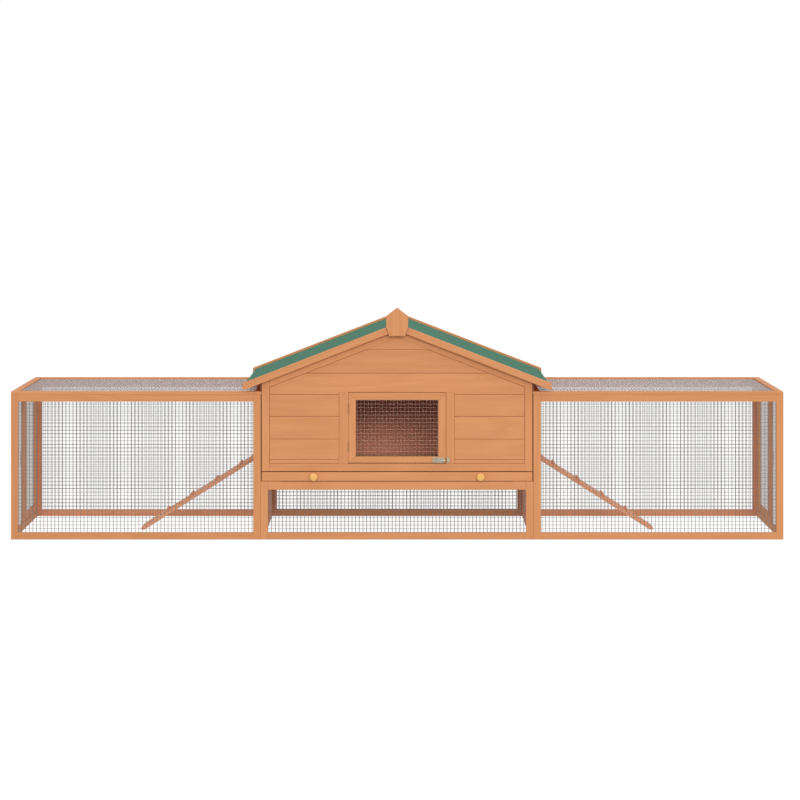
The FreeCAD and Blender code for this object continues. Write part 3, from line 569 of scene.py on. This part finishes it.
front_low, front_high = low_high("front_frame")
back_low, back_high = low_high("back_frame")
front_y, back_y = front_low.y, back_high.y
half_front = front_high.x
post_inner = half_front - POST
half_house = low_high("right_wall_boards")[1].x
inner_front_y = front_y + THICK
inner_back_y = back_y - THICK
roof_low, roof_high = low_high("right_roof_board")
surround_low, surround_high = low_high("door_surround")
sill, door_top, surround_half = surround_low.z, surround_high.z, surround_high.x
roof_under = roof_high.z - THICK * SLANT
trim_low = roof_under - TRIM * SLANT
gable_rows = math.floor((trim_low - sill - FIRST_JOINT - PLATE_ROOM) / BOARD_PITCH)
plate_z = sill + FIRST_JOINT + gable_rows * BOARD_PITCH + PLATE_SHIFT
plate_half = (trim_low - plate_z) / SLOPE


def under(level, distance):
    """Height of a roof line at a distance from the middle, given its height there."""
    return level - abs(distance) * SLOPE


def clipped(x0, x1, z0, z1, level, notch=None):
    """Outline of a board between two joints, cut off where it would pass a roof line."""
    low_reach, high_reach = (level - z0) / SLOPE, (level - z1) / SLOPE

    def side(x):
        if abs(x) >= low_reach:
            return [(math.copysign(low_reach, x), z0), (math.copysign(high_reach, x), z1)]
        if abs(x) > high_reach:
            return [(x, z0), (x, under(level, x)), (math.copysign(high_reach, x), z1)]
        return [(x, z0), (x, z1)]

    cutout = []
    if notch:
        start, end, top = notch
        cutout = [(start, z0), (start, top), (end, top), (end, z0)]
    left, right = side(x0), side(x1)
    return [left[0]] + cutout + right + left[:0:-1]


def gable(name, is_front, nodes_frame, nodes_trims, nodes_boards, foot):
    """Posts, rail and trims of a gable wall, and the boards behind them."""
    near = front_y if is_front else back_y
    inward = 1 if is_front else -1
    far = near + inward * THICK
    base, rail_top = foot + POST_FOOT, foot + RAIL_TOP
    frame_work = Joinery(f"{name}_gable_frame")
    for side, _ in SIDES:
        a, b = side * post_inner, side * HOUSE_EDGES[side]
        outline = [(a, base), (b, base), (b, under(roof_under, b)), (a, under(roof_under, a))]
        frame_work.facing(outline, near, far, Z)
    outline = [(-post_inner, base), (post_inner, base), (post_inner, rail_top), (-post_inner, rail_top)]
    frame_work.facing(outline, near, far, X)
    frame_work.finish("hutch", nodes_frame, front_wood)

    trims = Joinery(f"{name}_gable_trims")
    for side, _ in SIDES:
        end = side * post_inner
        outline = [(0, trim_low), (end, under(trim_low, end)), (end, under(roof_under, end)), (0, roof_under)]
        trims.facing(outline, near, far, Vector((side, 0, -SLOPE)), FINE_EDGE)
    trims.facing([(-plate_half, plate_z), (plate_half, plate_z), (0, trim_low)], near, far, X, FINE_EDGE)
    trims.finish("hutch", nodes_trims, front_wood)

    boards = Joinery(f"{name}_gable_boards")
    lining = Joinery(f"{name}_gable_lining")
    joints = [rail_top]
    for row in range(gable_rows):
        joints.append(sill + FIRST_JOINT + row * BOARD_PITCH + JOINT_SHIFTS[row])
    joints.append(plate_z)
    outer = near + inward * BOARD_SETBACK
    middle = outer + inward * BOARD_FACE
    inner = outer + inward * BOARD_BACK
    edge = post_inner - SHADOW_GAP
    left, right = -surround_half - SURROUND_SHIFT - SURROUND_GAPS[0], surround_half + SURROUND_GAPS[1]
    for z0, z1 in zip(joints[:-1], joints[1:]):
        spans = [(-edge, edge, None)]
        backs = [(-post_inner, post_inner, None)]
        if is_front and z1 < door_top:
            spans = [(-edge, left, None), (right, edge, None)]
            backs = [(-post_inner, -surround_half, None), (surround_half, post_inner, None)]
        elif is_front and z0 < door_top:
            spans = [(-edge, edge, (left, right, door_top - LINTEL_LAP))]
            backs = [(-post_inner, post_inner, (-surround_half, surround_half, door_top))]
        for x0, x1, notch in spans:
            outline = clipped(x0, x1, z0 + JOINT_GAP, z1 - JOINT_GAP, trim_low - TRIM_GAP, notch)
            boards.facing(outline, outer, middle, X, BOARD_EDGE)
        for x0, x1, notch in backs:
            lining.facing(clipped(x0, x1, z0, z1, trim_low, notch), middle, inner, X, 0)
    boards.finish("hutch", nodes_boards, front_wood)
    # The lining seen through the door takes the paler copy of the stain, painted light
    lining.finish("hutch", nodes_boards, lining_wood_painted_light)


gable("front", True, ["front_frame"], ["front_gable_trims"], ["front_boards"], front_low.z)
gable("back", False, ["back_frame"], [], ["back_boards"], back_low.z)

# A dark strip of painted shadow closes the slit between the house and each run, behind their faces
base_top = low_high("base_front_frame")[1].z
strip_top = under(roof_under, half_front) - STRIP_DROP
for side, name in SIDES:
    strip = Joinery(f"{name}_slit_shadow")
    a, b = sorted((side * (HOUSE_EDGES[side] + STRIP_GAP), side * (RUN_EDGES[side] + STRIP_LAP)))
    y0, y1 = [front_y + depth for depth in STRIP_DEPTHS]
    strip.box((a, y0, base_top), (b, y1, strip_top), Z, STRIP_EDGE)
    strip.finish("hutch", [], painted_shadow_wood)

surround = Joinery("door_surround_boards")
door_half = surround_half - SURROUND
for a, b in ((-surround_half - SURROUND_SHIFT, -door_half), (door_half, surround_half)):
    surround.box((a, front_y, sill - SURROUND_FOOT), (b, inner_front_y, door_top), Z)
surround.finish("hutch", ["door_surround"], front_wood)

pop_hole = [inner_front_y + place for place in POP_HOLE]
wall_edges = [0.0] + [sill + row * BOARD_PITCH for row in WALL_JOINTS] + [roof_under - half_house * SLOPE]
for side, name in SIDES:
    walls = Joinery(f"{name}_wall_planks")
    outer, middle, inner = [side * (half_house - depth) for depth in (0, BOARD_FACE, BOARD_BACK)]
    for row, (z0, z1) in enumerate(zip(wall_edges[:-1], wall_edges[1:])):
        spans = [(inner_front_y, inner_back_y)]
        if row in POP_HOLE_ROWS:
            spans = [(inner_front_y, pop_hole[0]), (pop_hole[1], inner_back_y)]
        if row in DOORWAY_ROWS:
            spans = [(inner_front_y, DOORWAY[0]), (DOORWAY[1], inner_back_y)]
        for y0, y1 in spans:
            a, b = sorted((outer, middle))
            walls.box((a, y0, z0 + JOINT_GAP), (b, y1, z1 - JOINT_GAP), Y, BOARD_EDGE)
            a, b = sorted((inner, middle))
            walls.box((a, y0, z0), (b, y1, z1), Y, 0)
    walls.finish("hutch", [f"{name}_wall_boards"], inner_wood_painted_light)
    battens = Joinery(f"{name}_wall_uprights")
    low, high = low_high(f"{name}_wall_battens")
    for y0 in (inner_front_y, DOORWAY[0] - STOCK, DOORWAY[1], inner_back_y - STOCK):
        battens.box((low.x, y0, low.z), (high.x, y0 + STOCK, high.z), Z)
    battens.finish("hutch", [f"{name}_wall_battens"], inner_wood_painted_light)


# Roof

roof_reach = roof_high.x
board_top = roof_high.z - FELT_SINK
for side, name in SIDES:
    decking = Joinery(f"{name}_roof_decking")
    for index in range(DECKING_BOARDS):
        a, b = [side * roof_reach * step / DECKING_BOARDS for step in (index, index + 1)]
        a, b = a + side * DECKING_GAP, b - side * DECKING_GAP
        outline = [(a, under(roof_under, a)), (b, under(roof_under, b)),
                   (b, under(board_top, b)), (a, under(board_top, a))]
        decking.facing(outline, roof_low.y, roof_high.y, Y, FINE_EDGE)
    decking.finish("hutch", [f"{name}_roof_board"], inner_wood_painted_light)


def bargeboards(node, name, edge, cut=0.0, rise=0.0):
    """A pair of bargeboards, each cut off beside the finial where cut is its clearance."""
    low, high = low_high(node)
    reach = high.x
    level = high.z - BARGE * SLANT
    ridge = high.z + rise
    work = Joinery(name)
    for side, _ in SIDES:
        end = side * reach
        top, foot = side * (FINIAL_HALF + cut), side * (FINIAL_FOOT_HALF + cut)
        start = [(foot, under(level, foot)), (top, under(ridge, top))] if cut else [(0, level), (0, ridge)]
        outline = [start[0], (end, under(level, end)), (end, under(ridge, end)), start[1]]
        work.facing(outline, low.y, high.y, Vector((side, 0, -SLOPE)), edge)
    if cut:
        half = FINIAL_FOOT_HALF - cut
        block = [(-half, under(level, half)), (0, level), (half, under(level, half)),
                 (half, under(ridge, half)), (0, ridge), (-half, under(ridge, half))]
        work.facing(block, low.y, high.y, Z, 0)
    work.finish("hutch", [node], front_wood)


bargeboards("front_bargeboards", "front_bargeboard_pair", FRONT_BARGE_EDGE, cut=FINIAL_GAP)
bargeboards("rear_bargeboards", "rear_bargeboard_pair", REAR_BARGE_EDGE, rise=REAR_BARGE_RISE)

low, high = low_high("finial")
finial = Joinery("finial_plate")
outline = [(0, high.z), (FINIAL_HALF, high.z - FINIAL_SHOULDER), (FINIAL_HALF, high.z - FINIAL_WAIST),
           (FINIAL_FOOT_HALF, high.z - FINIAL_FOOT)]
outline += [(-x, z) for x, z in reversed(outline[1:])]
finial.facing(outline, low.y, high.y, Z, FINIAL_EDGE)
finial.finish("hutch", ["finial"], front_wood)


def lie_of_felt(x, y):
    """A faint unevenness, from -1 to 1."""
    return math.sin(x * 37 + y * 11) * math.sin(y * 29 - x * 5)


def felt_sheet():
    """The felt in one piece over the ridge, turned down at the eaves, with a slight lie of its own."""
    low, high = low_high("roof_felt")
    bm = bmesh.new()
    profile = []
    for index in range(-FELT_STEPS, FELT_STEPS + 1):
        x = roof_reach * index / FELT_STEPS
        profile.append((x, under(board_top, x)))
    hem = low.z
    outer = [(low.x, hem)] + [(x, z + FELT_THICKNESS * SLANT) for x, z in profile] + [(high.x, hem)]
    outer[1] = (low.x, outer[1][1])
    outer[-2] = (high.x, outer[-2][1])
    inner = [(-roof_reach, hem)] + profile + [(roof_reach, hem)]
    grids = []
    for ring, lift in ((outer, 1.0), (inner, 0.0)):
        grid = []
        for row in range(FELT_ROWS + 1):
            y = low.y + (high.y - low.y) * row / FELT_ROWS
            line = []
            for x, z in ring:
                line.append(bm.verts.new((x, y, z + FELT_SAG * (lie_of_felt(x, y) - 1) * lift)))
            grid.append(line)
        grids.append(grid)
    top, bottom = grids
    count = len(outer)
    for row in range(FELT_ROWS):
        for column in range(count - 1):
            bm.faces.new((top[row][column], top[row][column + 1],
                          top[row + 1][column + 1], top[row + 1][column]))
            bm.faces.new((bottom[row][column], bottom[row + 1][column],
                          bottom[row + 1][column + 1], bottom[row][column + 1]))
    for row in (0, FELT_ROWS):
        for column in range(count - 1):
            bm.faces.new((top[row][column], top[row][column + 1],
                          bottom[row][column + 1], bottom[row][column]))
    for column in (0, count - 1):
        for row in range(FELT_ROWS):
            bm.faces.new((top[row][column], top[row + 1][column],
                          bottom[row + 1][column], bottom[row][column]))
    bmesh.ops.recalc_face_normals(bm, faces=bm.faces)
    mesh = bpy.data.meshes.new("felt_sheet")
    bm.to_mesh(mesh)
    bm.free()
    settle("felt_sheet", mesh, "hutch", ["roof_felt"], felt_green)


felt_sheet()


# Tray and runners

low, high = low_high("tray_front")
low.x, high.x = -HOUSE_EDGES[-1], HOUSE_EDGES[1]
low.z, high.z = low.z + TRAY_FOOT_RISE, high.z - TRAY_TOP_DROP
tray_front = Joinery("tray_front_board")
tray_front.box(low, high, X)
tray_front.finish("tray", ["tray_front"], front_wood)

low, high = low_high("tray_runners")
runners = Joinery("tray_runner_boards")
ledge_top = high.z - LEDGE_DROP
for side, _ in SIDES:
    a, b = sorted((side * LEDGE_INSIDE, side * RUNNER_OUTSIDE))
    runners.box((a, low.y, low.z), (b, high.y, ledge_top), Y)
    a, b = sorted((side * FENCE_INSIDE, side * RUNNER_OUTSIDE))
    runners.box((a, low.y, ledge_top), (b, high.y, high.z), Y)
runners.box((-STOCK / 2, low.y, low.z), (STOCK / 2, high.y, ledge_top), Y)
runners.finish("hutch", ["tray_runners"], inner_wood_painted_light)


def tray_knob(name, centre):
    """A turned knob on an axis that points to the front."""
    points, faces = [], []
    for radius, distance in KNOB_PROFILE:
        for index in range(KNOB_SIDES):
            angle = 2 * math.pi * index / KNOB_SIDES
            place = Vector((radius * math.cos(angle), -distance, radius * math.sin(angle)))
            points.append(centre + place * MM)
    for ring in range(len(KNOB_PROFILE) - 1):
        a, b = ring * KNOB_SIDES, (ring + 1) * KNOB_SIDES
        for index in range(KNOB_SIDES):
            following = (index + 1) % KNOB_SIDES
            faces.append((a + index, a + following, b + following, b + index))
    faces.append(tuple(range(KNOB_SIDES)))
    faces.append(tuple(range(len(points) - KNOB_SIDES, len(points))))
    mesh = bpy.data.meshes.new(name)
    mesh.from_pydata(points, [], faces)
    grain = mesh.attributes.new("grain", "FLOAT_VECTOR", "POINT")
    places = [value for point in points for value in (point.x, point.z + KNOB_GRAIN_START, point.y)]
    grain.data.foreach_set("vector", places)
    tone = mesh.attributes.new("tone", "FLOAT", "POINT")
    tone.data.foreach_set("value", [KNOB_TONE] * len(points))
    bm = bmesh.new()
    bm.from_mesh(mesh)
    bmesh.ops.recalc_face_normals(bm, faces=bm.faces)
    bm.to_mesh(mesh)
    bm.free()
    mesh.shade_smooth()
    settle(name, mesh, "tray", ["tray_knobs"], knob_wood)


low, high = low_high("tray_knobs")
for side, name in SIDES:
    tray_knob(f"{name}_tray_knob", Vector((side * KNOB_X, high.y, (low.z + high.z) / 2)))


# Ramps and turn buttons

def ramp(side, name):
    """A ramp's deck, with its foot cut level with the floor, and its cleats."""
    pin = Vector((side * PIN_X, PIN_Y, PIN_Z))
    down = Vector((side * math.cos(RAMP_ANGLE), 0, -math.sin(RAMP_ANGLE)))
    out = Vector((side * math.sin(RAMP_ANGLE), 0, math.cos(RAMP_ANGLE)))
    deck = Joinery(f"{name}_ramp_boards")

    def reach(height):
        """How far down the deck a line at that height above it meets the floor."""
        return (pin.z - RAMP_FLOOR_GAP + height * math.cos(RAMP_ANGLE)) / math.sin(RAMP_ANGLE)

    def slab(outline, grain, edge=EDGE):
        rings = [[pin + down * u + out * v + Y * y for u, v in outline] for y in RAMP_SIDES]
        deck.solid(*rings, grain, edge)

    foot = reach(RAMP_TOE)
    heel = reach(RAMP_UNDER)
    slab([(RAMP_HEAD, RAMP_UNDER), (heel, RAMP_UNDER), (foot, RAMP_TOP), (RAMP_HEAD, RAMP_TOP)], down)
    last = foot - LAST_CLEAT
    for index in range(CLEATS):
        place = FIRST_CLEAT + (last - FIRST_CLEAT) * index / (CLEATS - 1)
        a, b = place - CLEAT_HALF, place + CLEAT_HALF
        slab([(a, RAMP_TOP), (b, RAMP_TOP), (b, CLEAT_TOP), (a, CLEAT_TOP)], Y, CLEAT_EDGE)
    deck.finish(f"{name}_ramp", [f"{name}_ramp"], ramp_wood)


def turn_button(name):
    """A wooden button with round ends, upright at rest."""
    low, high = low_high(f"{name}_run_button")
    middle_y, middle_z = (low.y + high.y) / 2, (low.z + high.z) / 2
    radius = (high.y - low.y) / 2
    rounds = []
    for half, sign in ((0, 1), (1, -1)):
        for step in range(BUTTON_STEPS + 1):
            angle = math.pi * step / BUTTON_STEPS + half * math.pi
            rounds.append((middle_y + radius * math.cos(angle),
                           middle_z + sign * ((high.z - low.z) / 2 - radius) + radius * math.sin(angle)))
    button = Joinery(f"{name}_turn_button")
    button.solid([(low.x, y, z) for y, z in rounds], [(high.x, y, z) for y, z in rounds], Z, FINE_EDGE)
    button.finish(f"{name}_button", [f"{name}_run_button"], front_wood)


for side, name in SIDES:
    ramp(side, name)
    turn_button(name)


# Metal nodes of the model keep their shape

for node, material in (
    ("tray_pan", tray_painted_shade_metal), ("latch_body", plate_zinc), ("latch_bolt", latch_zinc),
    ("latch_keeper", plate_zinc), ("house_door_hinge_leaves", hinge_zinc),
    ("left_run_door_hinge_leaves", hinge_zinc), ("right_run_door_hinge_leaves", hinge_zinc),
    ("left_ramp_hinge_leaf", hinge_zinc), ("right_ramp_hinge_leaf", hinge_zinc),
    ("fixed_hinge_leaves", hinge_zinc), ("run_button_screws", screw_zinc),
):
    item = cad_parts[node]
    item.data.materials.clear()
    item.data.materials.append(material)


# Floor and light

FLOOR_HALF = 60
floor_mesh = bpy.data.meshes.new("floor")
corners = [(x * FLOOR_HALF, y * FLOOR_HALF, 0) for x, y in ((-1, -1), (1, -1), (1, 1), (-1, 1))]
floor_mesh.from_pydata(corners, [], [(0, 1, 2, 3)])
floor = bpy.data.objects.new("floor", floor_mesh)
bpy.context.scene.collection.objects.link(floor)
floor_shader = Shader("pale_floor")
floor_shader.set(Base_Color=rgb(0.06, 0.06, 0.06), Roughness=1.0, Specular_IOR_Level=0.0,
                 Emission_Color=rgb(1, 1, 1), Emission_Strength=0.97)
floor_mesh.materials.append(floor_shader.material)
floor.visible_diffuse = False
floor.visible_glossy = False

world = bpy.data.worlds.new("studio")
world.use_nodes = True
tree = world.node_tree
backdrop = tree.nodes["Background"]
backdrop.inputs["Color"].default_value = rgb(1, 1, 1)
backdrop.inputs["Strength"].default_value = 1.0
room = tree.nodes.new("ShaderNodeBackground")
room.inputs["Color"].default_value = rgb(1, 1, 1)
place = tree.nodes.new("ShaderNodeTexCoord")
split = tree.nodes.new("ShaderNodeSeparateXYZ")
sky = tree.nodes.new("ShaderNodeMapRange")
for socket, value in (("From Min", -0.6), ("From Max", 0.6), ("To Min", 0.60), ("To Max", 0.82)):
    sky.inputs[socket].default_value = value
tree.links.new(place.outputs["Generated"], split.inputs["Vector"])
tree.links.new(split.outputs["Z"], sky.inputs["Value"])
tree.links.new(sky.outputs["Result"], room.inputs["Strength"])
path = tree.nodes.new("ShaderNodeLightPath")
choice = tree.nodes.new("ShaderNodeMixShader")
tree.links.new(path.outputs["Is Camera Ray"], choice.inputs["Fac"])
tree.links.new(room.outputs["Background"], choice.inputs[1])
tree.links.new(backdrop.outputs["Background"], choice.inputs[2])
tree.links.new(choice.outputs["Shader"], tree.nodes["World Output"].inputs["Surface"])
bpy.context.scene.world = world


def soft_box(name, place, target, size, power):
    """A rectangular area light that points at its target."""
    data = bpy.data.lights.new(name, "AREA")
    data.shape = "RECTANGLE"
    data.size, data.size_y = size
    data.energy = power
    lamp = bpy.data.objects.new(name, data)
    lamp.location = place
    lamp.rotation_euler = (Vector(target) - Vector(place)).to_track_quat("-Z", "Y").to_euler()
    bpy.context.scene.collection.objects.link(lamp)


soft_box("key", place=(1.2, -11.1, 3.7), target=(0, 0, 0.45), size=(7.0, 2.6), power=552)
soft_box("overhead", place=(0, -0.5, 6.0), target=(0, 0, 0), size=(8.0, 5.0), power=90)
bpy.context.scene.view_settings.view_transform = "Standard"
